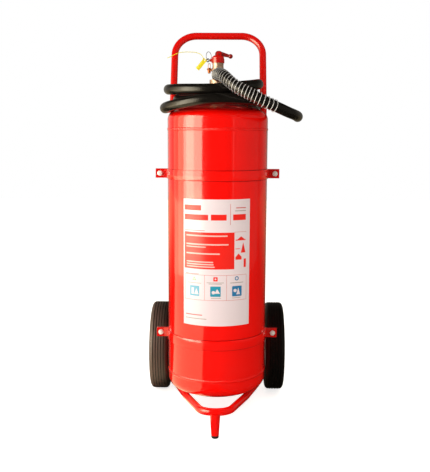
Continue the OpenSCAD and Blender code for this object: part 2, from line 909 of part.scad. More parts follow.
// Half of a band: strip round the vessel with an ear at each end
module band_half(z, side) {
    ear_y = band_gap / 2;
    color("#d8231a")
        translate([0, 0, z - band_w / 2])
            mirror([0, side < 0 ? 1 : 0, 0])
                difference() {
                    union() {
                        difference() {
                            ring(vessel_r + band_t, vessel_r, band_w, $fn = 180);
                            translate([-band_cut / 2, ear_y - band_cut, -over])
                                cube([band_cut, band_cut, 2 * band_w]);
                        }
                        for (s = [0, 1])
                            mirror([s, 0, 0])
                                translate([vessel_r + band_t / 2, ear_y, 0])
                                    cube([ear_reach - vessel_r - band_t / 2, band_t, band_w]);
                    }
                    for (x = [-bolt_x, bolt_x])
                        translate([x, -over, band_w / 2]) rotate([-90, 0, 0])
                            cylinder(h = 20, r = bolt_d / 2);
                    translate([0, 0, -over]) cylinder(h = 60, r = vessel_r, $fn = 180);
                }
}

module upper_band_front() {
    band_half(band_high_z, -1);
}

module upper_band_rear() {
    band_half(band_high_z, 1);
}

module lower_band_front() {
    band_half(band_low_z, -1);
}

module lower_band_rear() {
    band_half(band_low_z, 1);
}

module at_bolts() {
    for (x = [-bolt_x, bolt_x], z = [band_low_z, band_high_z])
        translate([x, 0, z]) children();
}

ear_face = band_gap / 2 + band_t;
washer_t = 1.6;

module band_bolts() {
    head_r = bolt_d * 0.94;
    color("silver")
        at_bolts() {
            translate([0, ear_face + washer_t + 9, 0]) rotate([90, 0, 0])
                cylinder(h = 2 * ear_face + 2 * washer_t + 9, r = bolt_d / 2);
            translate([0, -ear_face - washer_t, 0]) rotate([90, 0, 0])
                cylinder(h = bolt_d * 0.66, r = head_r, $fn = 6);
        }
}

module band_washers() {
    color("silver")
        at_bolts()
            for (y = [-ear_face, ear_face + washer_t])
                translate([0, y, 0]) rotate([90, 0, 0]) ring(bolt_d, bolt_d / 2, washer_t);
}

module band_nuts() {
    color("silver")
        at_bolts()
            translate([0, ear_face + washer_t + 6.5, 0]) rotate([90, 0, 0])
                difference() {
                    cylinder(h = 6.5, r = bolt_d * 0.94, $fn = 6);
                    translate([0, 0, -over]) cylinder(h = 10, r = bolt_d / 2);
                }
}

// ---------- axle and wheels ----------
module axle_bracket(side) {
    weld_y = leg_y + tube_r - 0.6;
    color("#d8231a")
        difference() {
            union() {
                translate([side * bracket_x - bracket_t / 2, 0, 0])
                    rotate([90, 0, 90])
                        linear_extrude(height = bracket_t)
                            polygon([
                                [weld_y, wheel_r - joint_drop],
                                [weld_y, wheel_r + plate_rise],
                                for (a = [66, 12, -50, -102])
                                    [axle_y + nose_r * cos(a), wheel_r + nose_r * sin(a)]
                            ]);
                at_axle()
                    along_x(side * bracket_x - bracket_t / 2 - boss_rise)
                        cylinder(h = bracket_t + 2 * boss_rise, r = boss_r);
            }
            translate([side * leg_x, leg_y, 0]) cylinder(h = wheel_d, r = tube_r);
            at_axle() along_x(side * bracket_x - boss_r) cylinder(h = 2 * boss_r, r = axle_d / 2);
        }
}

module axle_bracket_left() {
    axle_bracket(-1);
}

module axle_bracket_right() {
    axle_bracket(1);
}

pin_hole_x = axle_half - 4;
split_d = 3.2;

module at_axle() {
    translate([0, axle_y, wheel_r]) children();
}

module axle() {
    color("silver")
        at_axle()
            difference() {
                along_x(-axle_half) cylinder(h = 2 * axle_half, r = axle_d / 2);
                for (x = [-pin_hole_x, pin_hole_x])
                    translate([x, 0, -axle_d]) cylinder(h = 2 * axle_d, r = split_d / 2, $fn = 24);
            }
}

hub_in = wheel_in_x + 3;
hub_out = wheel_in_x + tyre_w - 3;

module axle_spacers() {
    from = bracket_x + bracket_t / 2 + boss_rise;
    color("silver")
        at_axle()
            mirror_pair()
                along_x(from) ring(axle_d / 2 + 3.5, axle_d / 2, hub_in - play - from);
}

module axle_washers() {
    color("silver")
        at_axle()
            mirror_pair()
                along_x(hub_out + play) ring(axle_d / 2 + 7, axle_d / 2, 2.5);
}

module split_pins() {
    color("silver")
        at_axle()
            mirror_pair() {
                translate([pin_hole_x, 0, -axle_d / 2 - 5])
                    cylinder(h = axle_d + 8, r = split_d / 2, $fn = 24);
                translate([pin_hole_x, 0, axle_d / 2 + 5]) rotate([0, 90, 0])
                    rotate_extrude($fn = 24) translate([2.6, 0]) circle(r = 1.2, $fn = 16);
            }
}

// Section of the tyre: round shoulders and grooves, width along X
module tyre_section() {
    shoulder = 13;
    groove_w = 3;
    groove_h = 3.5;
    pitch = (tyre_w - 2 * shoulder) / (groove_n - 1);
    difference() {
        union() {
            translate([rim_d / 2, -tyre_w / 2 + shoulder])
                square([wheel_r - rim_d / 2, tyre_w - 2 * shoulder]);
            translate([rim_d / 2, -tyre_w / 2])
                square([wheel_r - shoulder - rim_d / 2, tyre_w]);
            for (s = [-1, 1])
                translate([wheel_r - shoulder, s * (tyre_w / 2 - shoulder)])
                    circle(shoulder);
        }
        for (k = [0 : groove_n - 1])
            translate([wheel_r - groove_h, -tyre_w / 2 + shoulder + k * pitch - groove_w / 2])
                square([groove_h + over, groove_w]);
    }
}

module tyre(side) {
    color("#262220")
        at_axle()
            translate([side * wheel_mid_x, 0, 0]) rotate([0, 90, 0])
                rotate_extrude($fn = 180) tyre_section();
}

module tyre_left() {
    tyre(-1);
}

module tyre_right() {
    tyre(1);
}

// Pressed disc wheel with a hub tube and five holes
module rim(side) {
    rim_r = rim_d / 2;
    flange_w = tyre_w - 12;
    hole_ring_r = (rim_r + bush_d / 2) / 2 + 2;
    color("#8d8f92")
        at_axle()
            translate([side * wheel_mid_x, 0, 0]) rotate([0, 90, 0]) {
                difference() {
                    rotate_extrude($fn = 180) {
                        translate([rim_r - 5, -flange_w / 2]) square([5, flange_w]);
                        translate([bush_d / 2, -3]) square([rim_r - bush_d / 2 - 2, 6]);
                        translate([bush_d / 2, -tyre_w / 2 + 3]) square([7, tyre_w - 6]);
                    }
                    for (k = [0 : 4])
                        rotate([0, 0, 72 * k])
                            translate([hole_ring_r, 0, -10]) cylinder(h = 20, r = 15);
                }
            }
}

module rim_left() {
    rim(-1);
}

module rim_right() {
    rim(1);
}

module bush(side) {
    color("#d9cfae")
        at_axle()
            along_x(side * wheel_mid_x - tyre_w / 2 + 3)
                ring(bush_d / 2, axle_d / 2 + bush_gap, tyre_w - 6);
}

module bush_left() {
    bush(-1);
}

module bush_right() {
    bush(1);
}

// Moves a part from the vessel axis to the origin between the wheels and the foot
module stand() {
    translate([0, -origin_y, 0]) children();
}

stand() vessel_shell();
stand() head_top();
stand() head_bottom();
stand() weld_beads();
stand() neck_collar();
stand() label();
stand() dip_tube();
stand() valve_body();
stand() valve_gasket();
stand() valve_cap();
stand() valve_stem();
stand() stem_seal();
stand() valve_spring();
stand() lever_arm();
stand() lever_knob();
stand() lever_axle();
stand() safety_pin();
stand() pull_ring();
stand() seal_tag();
stand() seal_tail();
stand() relief_fitting();
stand() outlet_coupling();
stand() hose_ferrule();
stand() spring_guard();
stand() hose_lead();
stand() hose_coil();
stand() hose_tail();
stand() nozzle_ferrule();
stand() nozzle_body();
stand() nozzle_tip();
stand() nozzle_trigger();
stand() trigger_pin();
stand() nozzle_clip();
stand() handle_frame();
stand() foot_loop();
stand() foot_stem();
stand() foot_tip();
stand() upper_band_front();
stand() upper_band_rear();
stand() lower_band_front();
stand() lower_band_rear();
stand() band_bolts();
stand() band_washers();
stand() band_nuts();
stand() axle_bracket_left();
stand() axle_bracket_right();
stand() axle();
stand() axle_spacers();
stand() tyre_left();
stand() tyre_right();
stand() rim_left();
stand() rim_right();
stand() bush_left();
stand() bush_right();
stand() axle_washers();
stand() split_pins();
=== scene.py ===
import json
import math

import bmesh
import bpy
from mathutils import Matrix, Vector


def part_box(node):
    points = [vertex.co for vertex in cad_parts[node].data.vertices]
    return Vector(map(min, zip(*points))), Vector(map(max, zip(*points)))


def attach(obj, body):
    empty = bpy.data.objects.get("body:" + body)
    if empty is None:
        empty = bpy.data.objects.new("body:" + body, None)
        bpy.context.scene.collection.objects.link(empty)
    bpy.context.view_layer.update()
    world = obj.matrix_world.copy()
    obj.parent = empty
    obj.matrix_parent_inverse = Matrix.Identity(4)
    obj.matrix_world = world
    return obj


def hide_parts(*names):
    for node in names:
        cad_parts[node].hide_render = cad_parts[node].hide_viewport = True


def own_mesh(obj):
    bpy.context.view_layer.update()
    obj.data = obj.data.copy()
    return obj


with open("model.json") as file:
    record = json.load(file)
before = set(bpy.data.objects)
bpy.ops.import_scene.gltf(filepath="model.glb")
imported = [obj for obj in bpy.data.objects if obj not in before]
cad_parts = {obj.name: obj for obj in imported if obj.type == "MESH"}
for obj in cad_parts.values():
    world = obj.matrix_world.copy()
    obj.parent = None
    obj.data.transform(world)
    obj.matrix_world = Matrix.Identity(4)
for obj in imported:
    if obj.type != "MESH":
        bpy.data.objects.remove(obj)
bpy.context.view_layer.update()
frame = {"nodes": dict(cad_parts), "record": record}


# ---------- places taken from the frame ----------
def middle(node):
    low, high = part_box(node)
    return (low + high) / 2


def width_of(node):
    low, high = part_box(node)
    return high.x - low.x


AXIS_Y = middle("vessel_shell").y
VESSEL_R = width_of("vessel_shell") / 2
WHEEL = middle("tyre_right")
WHEEL_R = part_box("tyre_right")[1].z - WHEEL.z


def on_stand(point):
    """A place given from the vessel's axis, in the frame of the whole trolley."""
    return Vector((point[0], point[1] + AXIS_Y, point[2]))


# ---------- camera ----------
FRAME_W = 430
FRAME_H = 472
FOCAL_PX = 715
SENSOR = 36
CAMERA_OUT = 2.1717
CAMERA_SIDE = math.radians(0.8)
CAMERA_Z = 0.862
CAMERA_YAW = math.radians(0.974)
CAMERA_DIP = math.radians(8.2)
CAMERA_ROLL = math.radians(0.266)


def make_camera():
    data = bpy.data.cameras.new("camera")
    data.sensor_width = SENSOR
    data.lens = FOCAL_PX * SENSOR / max(FRAME_W, FRAME_H)
    camera = bpy.data.objects.new("camera", data)
    bpy.context.scene.collection.objects.link(camera)
    ahead = Vector((
        -math.sin(CAMERA_YAW) * math.cos(CAMERA_DIP),
        math.cos(CAMERA_YAW) * math.cos(CAMERA_DIP),
        -math.sin(CAMERA_DIP),
    ))
    level = Vector((math.cos(CAMERA_YAW), math.sin(CAMERA_YAW), 0))
    right = level * math.cos(CAMERA_ROLL) + level.cross(ahead) * math.sin(CAMERA_ROLL)
    up = right.cross(ahead)
    turn = Matrix((right, up, -ahead)).transposed().to_4x4()
    place = Vector((
        CAMERA_OUT * math.sin(CAMERA_SIDE),
        AXIS_Y - CAMERA_OUT * math.cos(CAMERA_SIDE),
        CAMERA_Z,
    ))
    camera.matrix_world = Matrix.Translation(place) @ turn
    bpy.context.scene.camera = camera


make_camera()


# ---------- node maths ----------
class Wire:
    """A number on a node's socket. Sums with it add Math nodes to its tree."""

    def __init__(self, nodes, socket):
        self.nodes = nodes
        self.socket = socket

    def math(self, operation, *others):
        return self.nodes.math(operation, self, *others)

    def __add__(self, other):
        return self.math("ADD", other)

    def __sub__(self, other):
        return self.math("SUBTRACT", other)

    def __rsub__(self, other):
        return self.nodes.math("SUBTRACT", other, self)

    def __mul__(self, other):
        return self.math("MULTIPLY", other)

    def __truediv__(self, other):
        return self.math("DIVIDE", other)

    def __pow__(self, other):
        return self.math("POWER", other)

    def __gt__(self, other):
        return self.math("GREATER_THAN", other)

    def __lt__(self, other):
        return self.math("LESS_THAN", other)

    def size(self):
        return self.math("ABSOLUTE")

    def sine(self):
        return self.math("SINE")

    def most(self, other):
        return self.math("MAXIMUM", other)

    def held(self):
        """Kept from 0 to 1."""
        return self.most(0).math("MINIMUM", 1)

    def between(self, low, high):
        return (self > low) * (self < high)

    def ramp(self, start, end, low, high):
        """Runs from low to high while the wire runs from start to end, and is held outside."""
        return ((self - start) / (end - start)).held() * (high - low) + low


class Nodes:
    """A node tree, with short calls that add nodes and feed their sockets."""

    def __init__(self, tree):
        self.tree = tree

    def feed(self, socket, value):
        if isinstance(value, Wire):
            value = value.socket
        if isinstance(value, bpy.types.NodeSocket):
            self.tree.links.new(value, socket)
        else:
            socket.default_value = value

    def add(self, kind, settings=None, inputs=None):
        node = self.tree.nodes.new(kind)
        for key, value in (settings or {}).items():
            setattr(node, key, value)
        for key, value in (inputs or {}).items():
            self.feed(node.inputs[key], value)
        return node

    def math(self, operation, *values):
        node = self.add("ShaderNodeMath", {"operation": operation})
        for place, value in enumerate(values):
            self.feed(node.inputs[place], value)
        return Wire(self, node.outputs[0])

    def coordinates(self, kind="Object"):
        return self.add("ShaderNodeTexCoord").outputs[kind]

    def axes(self, kind="Object"):
        split = self.add("ShaderNodeSeparateXYZ", None, {"Vector": self.coordinates(kind)})
        return [Wire(self, output) for output in split.outputs]

    def ray(self, name):
        """1 where the ray in hand is of the named kind, or else 0."""
        return Wire(self, self.add("ShaderNodeLightPath").outputs[name])


NOISE_ROUGHNESS = 0.55
# Sockets of a Mix node that works on colours
MIX_FIRST = 6
MIX_SECOND = 7
MIX_RESULT = 2


class Finish(Nodes):
    """One material: its node tree and its main shader."""

    def __init__(self, name, color, roughness, metallic=0, **constants):
        self.material = bpy.data.materials.new(name)
        self.material.use_nodes = True
        super().__init__(self.material.node_tree)
        self.shader = self.tree.nodes["Principled BSDF"]
        self.paint("Base Color", (*color, 1))
        self.paint("Roughness", roughness)
        self.paint("Metallic", metallic)
        for key, value in constants.items():
            self.paint(key.replace("_", " "), value)

    def paint(self, socket, value):
        self.feed(self.shader.inputs[socket], value)

    def noise(self, scale, detail):
        """Even noise from 0 to 1, with scale cells to the metre."""
        values = {"Scale": scale, "Detail": detail, "Roughness": NOISE_ROUGHNESS}
        values["Vector"] = self.coordinates()
        node = self.add("ShaderNodeTexNoise", None, values)
        return Wire(self, node.outputs["Fac"])

    def mix(self, mask, first, second):
        """Blends two colours, or sockets that carry one, by a mask from 0 to 1."""
        node = self.add("ShaderNodeMix", {"data_type": "RGBA"}, {0: mask})
        for place, shade in ((MIX_FIRST, first), (MIX_SECOND, second)):
            if isinstance(shade, tuple):
                shade = (*shade, 1)
            self.feed(node.inputs[place], shade)
        return node.outputs[MIX_RESULT]

    def bump(self, height, distance, strength):
        values = {"Height": height, "Distance": distance, "Strength": strength}
        node = self.add("ShaderNodeBump", None, values)
        self.paint("Normal", node.outputs["Normal"])


# ---------- finishes ----------
RED = (0.93, 0.0024, 0.0003)
RED_DEEP = (0.85, 0.0018, 0.0002)
# Dark red of the painted shade and painted shadow on the vessel
PAINTED_SHADE_RED = (0.16, 0.0008, 0.0002)
# Painted shade: the lever's red is painted dark, as the lever lies in shade
LEVER_SHADED_RED = (0.32, 0.007, 0.006)
LEVER_SHADED_DARK = (0.20, 0.005, 0.004)
# The crown under the coil is painted darker, with a thinner coat, as painted shadow of the coil
COIL_SHADE_R = 0.108
COIL_SHADE_RISE = 0.02
COIL_SHADE_TALL = 0.08
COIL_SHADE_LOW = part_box("vessel_shell")[1].z + COIL_SHADE_RISE
COIL_SHADE_HIGH = COIL_SHADE_LOW + COIL_SHADE_TALL
# Painted shade: dark lines on the shell along the edges of the two bands, where the bands meet it
SEAM_W = 0.0022
SEAMS = []
for band in ("upper_band_front", "lower_band_front"):
    band_low, band_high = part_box(band)
    SEAMS += [(band_low.z - SEAM_W, band_low.z), (band_high.z, band_high.z + SEAM_W)]
SEAM_SHADE = 0.8
SKIN = 0.0004
SHADE_COVER = 0.8
SHADE_COAT_CUT = 0.9
# The bolted ears of the bands, past this distance from the vessel, are painted darker as painted
# shade
EAR_OUT = 0.004
EAR_START = VESSEL_R + EAR_OUT
EAR_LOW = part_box("lower_band_front")[0].z
EAR_SHADE = 0.45


def red_paint():
    """Glossy red of the vessel, with painted shadow under the coil and painted shade along the
    edges of the bands.
    """
    finish = Finish("red_paint", RED, 0.16, Coat_Weight=1.0, Coat_Roughness=0.03, Coat_IOR=1.5)
    clouds = finish.noise(6, 3)
    finish.paint("Roughness", clouds * 0.08 + 0.12)
    x, y, z = finish.axes()
    reach = (x ** 2 + (y - AXIS_Y) ** 2) ** 0.5
    # Painted shadow of the coil on the crown
    under_coil = (reach < COIL_SHADE_R) * z.between(COIL_SHADE_LOW, COIL_SHADE_HIGH)
    # Painted shade along the edges of the bands
    seams = z.between(*SEAMS[0])
    for low, high in SEAMS[1:]:
        seams = seams + z.between(low, high)
    # Painted shade: the coil's shadow and the dark lines at the band edges
    painted_shade = (under_coil + seams * (reach < VESSEL_R + SKIN) * SEAM_SHADE).held()
    # Painted shade on the bolted ears of the bands
    ears = (reach > EAR_START) * (z > EAR_LOW)
    shade = finish.mix(clouds, RED, RED_DEEP)
    shade = finish.mix(ears * EAR_SHADE, shade, PAINTED_SHADE_RED)
    shade = finish.mix(painted_shade * SHADE_COVER, shade, PAINTED_SHADE_RED)
    finish.paint("Base Color", shade)
    # Less coat in the painted shadow and shade, so they hold no bright reflection
    finish.paint("Coat Weight", 1 - painted_shade * SHADE_COAT_CUT)
    finish.bump(finish.noise(220, 2) + finish.noise(1400, 1) * 0.1, 0.00006, 0.5)
    return finish.material


WELD_RIPPLES = 260


def weld_paint():
    """The same red over the ripples of a weld bead."""
    finish = Finish("weld_paint", RED, 0.2, Coat_Weight=1.0, Coat_Roughness=0.05)
    x, y, _ = finish.axes()
    turn = x.math("ARCTAN2", y - AXIS_Y)
    ripple = (turn * WELD_RIPPLES + finish.noise(60, 2) * 5).sine()
    finish.paint("Base Color", finish.mix(finish.noise(30, 3), RED, RED_DEEP))
    finish.bump(ripple, 0.0004, 0.6)
    return finish.material


def shaded_deep_paint(name, color, coat):
    """Red of the small castings and of the bent tube, painted deeper than the vessel's red as
    painted shade.
    """
    finish = Finish(name, color, 0.22, Coat_Weight=coat, Coat_Roughness=0.06)
    dark = tuple(value * 0.86 for value in color)
    clouds = finish.noise(12, 3)
    finish.paint("Base Color", finish.mix(clouds, color, dark))
    finish.paint("Roughness", clouds * 0.08 + 0.16)
    finish.bump(finish.noise(260, 2), 0.00006, 0.5)
    return finish.material


def shaded_red(name):
    """Matt, handled red of a lever, painted much darker than the vessel's red as painted shade.
    """
    finish = Finish(name, LEVER_SHADED_RED, 0.3, Coat_Weight=0.3, Coat_Roughness=0.15)
    clouds = finish.noise(90, 4)
    finish.paint("Base Color", finish.mix(clouds, LEVER_SHADED_RED, LEVER_SHADED_DARK))
    finish.paint("Roughness", clouds * 0.2 + 0.2)
    finish.bump(finish.noise(900, 3), 0.00008, 0.5)
    return finish.material


METAL_GRAIN = 400


def metal(name, bright, dark, roughness, lathe=0, metallic=1):
    """Metal with a cloudy tarnish, fine grain and, where lathe is set, turning marks."""
    finish = Finish(name, bright, roughness, metallic)
    tarnish = finish.noise(70, 5)
    finish.paint("Base Color", finish.mix(tarnish, bright, dark))
    finish.paint("Roughness", tarnish * 0.2 + (roughness - 0.1))
    height = finish.noise(METAL_GRAIN, 3)
    if lathe:
        z = finish.axes()[2]
        height = height * 0.4 + (z * lathe).sine() * 0.3
    finish.bump(height, 0.00005, 0.5)
    return finish.material


STEEL_LIGHT = (0.82, 0.83, 0.87)
STEEL_DARK = (0.60, 0.60, 0.64)
STEEL_DARKEST = (0.10, 0.095, 0.09)
# The wire guard keeps its colour to the right of this place, and turns darker over this width
# towards the valve
GUARD_EVEN_X = 0.045
GUARD_FADE = 0.025
GUARD_DARKEN = 0.55


def guard_steel():
    """Steel wire, darker on the curls at the valve."""
    finish = Finish("guard_steel", STEEL_LIGHT, 0.35, 0.4)
    x = finish.axes()[0]
    near_valve = ((GUARD_EVEN_X - x) / GUARD_FADE).held()
    tarnish = finish.noise(70, 5)
    shade = finish.mix(tarnish, STEEL_LIGHT, STEEL_DARK)
    finish.paint("Base Color", finish.mix(near_valve * GUARD_DARKEN, shade, STEEL_DARKEST))
    finish.paint("Roughness", tarnish * 0.2 + 0.25)
    finish.bump(finish.noise(METAL_GRAIN, 3), 0.00005, 0.5)
    return finish.material


PLAIN_GRAIN = 500


def plain(name, light, dark, roughness, coat=0.0):
    """Plastic or rubber with a slight mottle and a fine moulded grain."""
    finish = Finish(name, light, roughness, Coat_Weight=coat, Coat_Roughness=0.1)
    mottle = finish.noise(45, 4)
    finish.paint("Base Color", finish.mix(mottle, light, dark))
    finish.paint("Roughness", mottle * 0.16 + (roughness - 0.08))
    finish.bump(finish.noise(PLAIN_GRAIN, 3), 0.0001, 0.5)
    return finish.material


HOSE_BLACK = (0.003, 0.0026, 0.0022)
HOSE_DUSTY = (0.010, 0.0085, 0.0075)
WRAP_TURNS = 11
WRAP_PITCH = 0.0085


def hose_rubber():
    """Rubber with the fine crossing print of its cloth wrap. U is round it and V along it."""
    finish = Finish("hose_rubber", HOSE_BLACK, 0.4, Specular_IOR_Level=0.5)
    u, v, _ = finish.axes("UV")
    turns = u * (2 * math.pi * WRAP_TURNS)
    steps = v * (2 * math.pi / WRAP_PITCH)
    weave = (turns + steps).sine() * (turns - steps).sine()
    dust = finish.noise(35, 5)
    finish.paint("Base Color", finish.mix(dust, HOSE_BLACK, HOSE_DUSTY))
    finish.paint("Roughness", dust * 0.12 + weave * 0.05 + 0.14)
    finish.bump(weave + finish.noise(700, 2) * 0.5, 0.00014, 0.6)
    return finish.material


TREAD_HALF = 0.0185
GROOVE_DEEP = 0.0015
TYRE_DARK = (0.003, 0.002, 0.0015)
TYRE_WORN = (0.007, 0.0045, 0.0035)
# Lighter colour of the lit left tyre: painted light
TYRE_LIT = (0.105, 0.070, 0.056)
# Painted light on the left tyre grows from this place outwards, over this width; the inner side
# keeps less of it as painted shade
LIT_TYRE_START = -0.165
LIT_TYRE_FADE = 0.045


def tyre_rubber():
    """Worn rubber, dark in the grooves; the left tyre is painted lighter as painted light, most
    on its outer side.
    """
    finish = Finish("tyre_rubber", TYRE_WORN, 0.5, Specular_IOR_Level=0.6)
    x, y, z = finish.axes()
    reach = ((y - WHEEL.y) ** 2 + (z - WHEEL.z) ** 2) ** 0.5
    in_tread = (x.size() - WHEEL.x).size() < TREAD_HALF
    groove = in_tread * (reach < WHEEL_R - GROOVE_DEEP)
    dust = finish.noise(28, 6)
    outer = ((LIT_TYRE_START - x) / LIT_TYRE_FADE).held()
    # Painted light on the left tyre, with less of it inwards as painted shade
    painted_light = (x < 0) * (dust * 0.5 + 0.6).held() * (outer * 0.8 + 0.2)
    shade = finish.mix(dust, TYRE_DARK, TYRE_WORN)
    shade = finish.mix(painted_light, shade, TYRE_LIT)
    shade = finish.mix(groove, shade, TYRE_DARK)
    finish.paint("Base Color", shade)
    finish.paint("Roughness", dust * 0.25 + 0.4)
    finish.bump(finish.noise(600, 4), 0.0003, 0.6)
    return finish.material


# ---------- label print: plain bars and shapes, places in metres on the sheet ----------
INK_RED = (0.82, 0.010, 0.004)
INK_PINK = (0.58, 0.13, 0.14)
INK_GREY = (0.30, 0.26, 0.25)
INK_GREEN = (0.12, 0.45, 0.08)
# The left icon's blue, painted paler as painted highlight
INK_BLUE_HIGHLIGHT = (0.14, 0.42, 0.60)
INK_TEAL = (0.01, 0.27, 0.42)
INK_BLUE = (0.01, 0.17, 0.40)
PAPER = (0.735, 0.645, 0.71)
LINE_PALE = (0.80, 0.46, 0.44)
# A bar is left, right, bottom, top
RED_BARS = [
    (-0.099, -0.045, 0.643, 0.658),
    (-0.099, -0.024, 0.615, 0.631),
    (-0.016, 0.029, 0.615, 0.632),
    (0.048, 0.089, 0.615, 0.632),
]
RED_PANEL = (-0.099, 0.053, 0.473, 0.580)
PINK_BARS = [
    (0.0396, 0.0410, 0.602, 0.662),
    (0.057, 0.089, 0.649, 0.652),
    (-0.098, -0.034, 0.584, 0.586),
    (0.053, 0.091, 0.5805, 0.5815),
    (-0.095, -0.052, 0.457, 0.459),
    (-0.095, -0.041, 0.335, 0.338),
]
GREY_BARS = [
    (0.054, 0.089, 0.641, 0.643),
    (-0.088, -0.044, 0.4305, 0.432),
    (-0.028, 0.022, 0.433, 0.4345),
    (-0.022, 0.016, 0.4295, 0.431),
    (0.041, 0.082, 0.432, 0.4338),
    (-0.015, 0.014, 0.3875, 0.389),
    (0.047, 0.073, 0.3875, 0.389),
    (-0.095, -0.028, 0.3243, 0.3263),
]
WHITE_LINES = [
    (-0.093, 0.032, 0.568, 0.572),
    (-0.093, 0.035, 0.543, 0.547),
    (-0.093, -0.031, 0.536, 0.539),
    (-0.093, 0.010, 0.516, 0.520),
    (-0.092, -0.009, 0.492, 0.4955),
    (-0.092, -0.008, 0.485, 0.4885),
    (-0.092, -0.005, 0.478, 0.4815),
]
CELLS = (-0.098, 0.093, 0.381, 0.456)
CELL_POSTS = [-0.0345, 0.0298]
CELL_LINE_W = 0.001
SHAPE_BARS = [
    (0.056, 0.089, 0.556, 0.559),
    (0.056, 0.070, 0.531, 0.533),
    (0.056, 0.076, 0.500, 0.508),
    (0.083, 0.091, 0.477, 0.502),
]
ICON_BAR = (-0.075, -0.067, 0.398, 0.417)
# A wedge is middle, base, half width, height
SHAPE_WEDGES = [
    (0.074, 0.559, 0.012, 0.009),
    (0.081, 0.520, 0.008, 0.030),
    (0.066, 0.508, 0.010, 0.010),
]
ICON_WEDGES = [
    (-0.059, 0.398, 0.007, 0.018),
    (0.003, 0.402, 0.008, 0.014),
    (0.066, 0.398, 0.006, 0.020),
]
GREEN_MARK = (-0.066, 0.4395, 0.006, 0.010)
GREEN_HOLE = (-0.066, 0.4410, 0.0035, 0.006)
# A disc is middle, height, radius
ICON_DISCS = [(-0.008, 0.405, 0.005), (0.056, 0.410, 0.005)]
RED_EYE = (-0.002, 0.4445, 0.0026)
RING_OUTER = (0.061, 0.4455, 0.0062)
RING_INNER = (0.061, 0.4455, 0.0034)
# A block is middle, height, half width, corner radius
RED_MARK = (-0.002, 0.4445, 0.0063, 0.0015)
ICONS = [(at, 0.408, 0.0152, 0.002) for at in (-0.065, -0.002, 0.062)]


def any_of(masks):
    total = masks[0]
    for mask in masks[1:]:
        total = total.most(mask)
    return total


class Sheet:
    """Masks on the label, in metres along the sheet and above the ground."""

    def __init__(self, finish):
        x, y, z = finish.axes()
        self.along = x.math("ARCTAN2", AXIS_Y - y) * VESSEL_R
        self.up = z

    def bar(self, left, right, bottom, top):
        return self.along.between(left, right) * self.up.between(bottom, top)

    def outline(self, line, left, right, bottom, top):
        inner = self.bar(left + line, right - line, bottom + line, top - line)
        return self.bar(left, right, bottom, top) * (1 - inner)

    def disc(self, at, height, radius):
        reach = ((self.along - at) ** 2 + (self.up - height) ** 2) ** 0.5
        return reach < radius

    def block(self, at, height, half, corner):
        over_x = ((self.along - at).size() - (half - corner)).most(0)
        over_z = ((self.up - height).size() - (half - corner)).most(0)
        return (over_x ** 2 + over_z ** 2) ** 0.5 < corner

    def wedge(self, at, base, half, height):
        rise = self.up - base
        lean = (self.along - at).size() / half + rise / height
        return (rise > 0) * (lean < 1)

    def bars(self, rows):
        return any_of([self.bar(*row) for row in rows])

    def wedges(self, rows):
        return any_of([self.wedge(*row) for row in rows])

    def discs(self, rows):
        return any_of([self.disc(*row) for row in rows])


def cell_lines(sheet):
    left, right, bottom, top = CELLS
    posts = [(at, at + CELL_LINE_W, bottom, top) for at in CELL_POSTS]
    return sheet.outline(CELL_LINE_W, *CELLS).most(sheet.bars(posts))


def red_print(sheet):
    """The bars, the panel, a column of plain shapes beside it and the middle mark."""
    bars = sheet.bars(RED_BARS + [RED_PANEL] + SHAPE_BARS)
    return any_of([bars, sheet.wedges(SHAPE_WEDGES), sheet.block(*RED_MARK)])


def icon_shapes(sheet):
    return any_of([sheet.bar(*ICON_BAR), sheet.wedges(ICON_WEDGES), sheet.discs(ICON_DISCS)])


def label_layers(sheet):
    """Masks, each with its ink, from the lowest layer to the uppermost."""
    highlit_icon, teal, blue = [sheet.block(*icon) for icon in ICONS]
    ring = sheet.disc(*RING_OUTER) * (1 - sheet.disc(*RING_INNER))
    green = sheet.wedge(*GREEN_MARK) * (1 - sheet.wedge(*GREEN_HOLE))
    return [
        (red_print(sheet), INK_RED),
        (sheet.bars(WHITE_LINES), LINE_PALE),
        (sheet.disc(*RED_EYE), PAPER),
        (sheet.bars(PINK_BARS).most(cell_lines(sheet)), INK_PINK),
        (sheet.bars(GREY_BARS), INK_GREY),
        (green, INK_GREEN),
        # The left icon's blue is painted paler as painted highlight
        (highlit_icon, INK_BLUE_HIGHLIGHT),
        (teal, INK_TEAL),
        (blue.most(ring), INK_BLUE),
        (icon_shapes(sheet), PAPER),
    ]


def label_print():
    """Matt paper with its print."""
    finish = Finish("label_print", PAPER, 0.32, Coat_Weight=0.12, Coat_Roughness=0.15)
    shade = PAPER
    for mask, ink in label_layers(Sheet(finish)):
        shade = finish.mix(mask, shade, ink)
    finish.paint("Base Color", shade)
    finish.paint("Roughness", finish.noise(40, 3) * 0.1 + 0.25)
    finish.bump(finish.noise(500, 3), 0.00004, 0.4)
    return finish.material


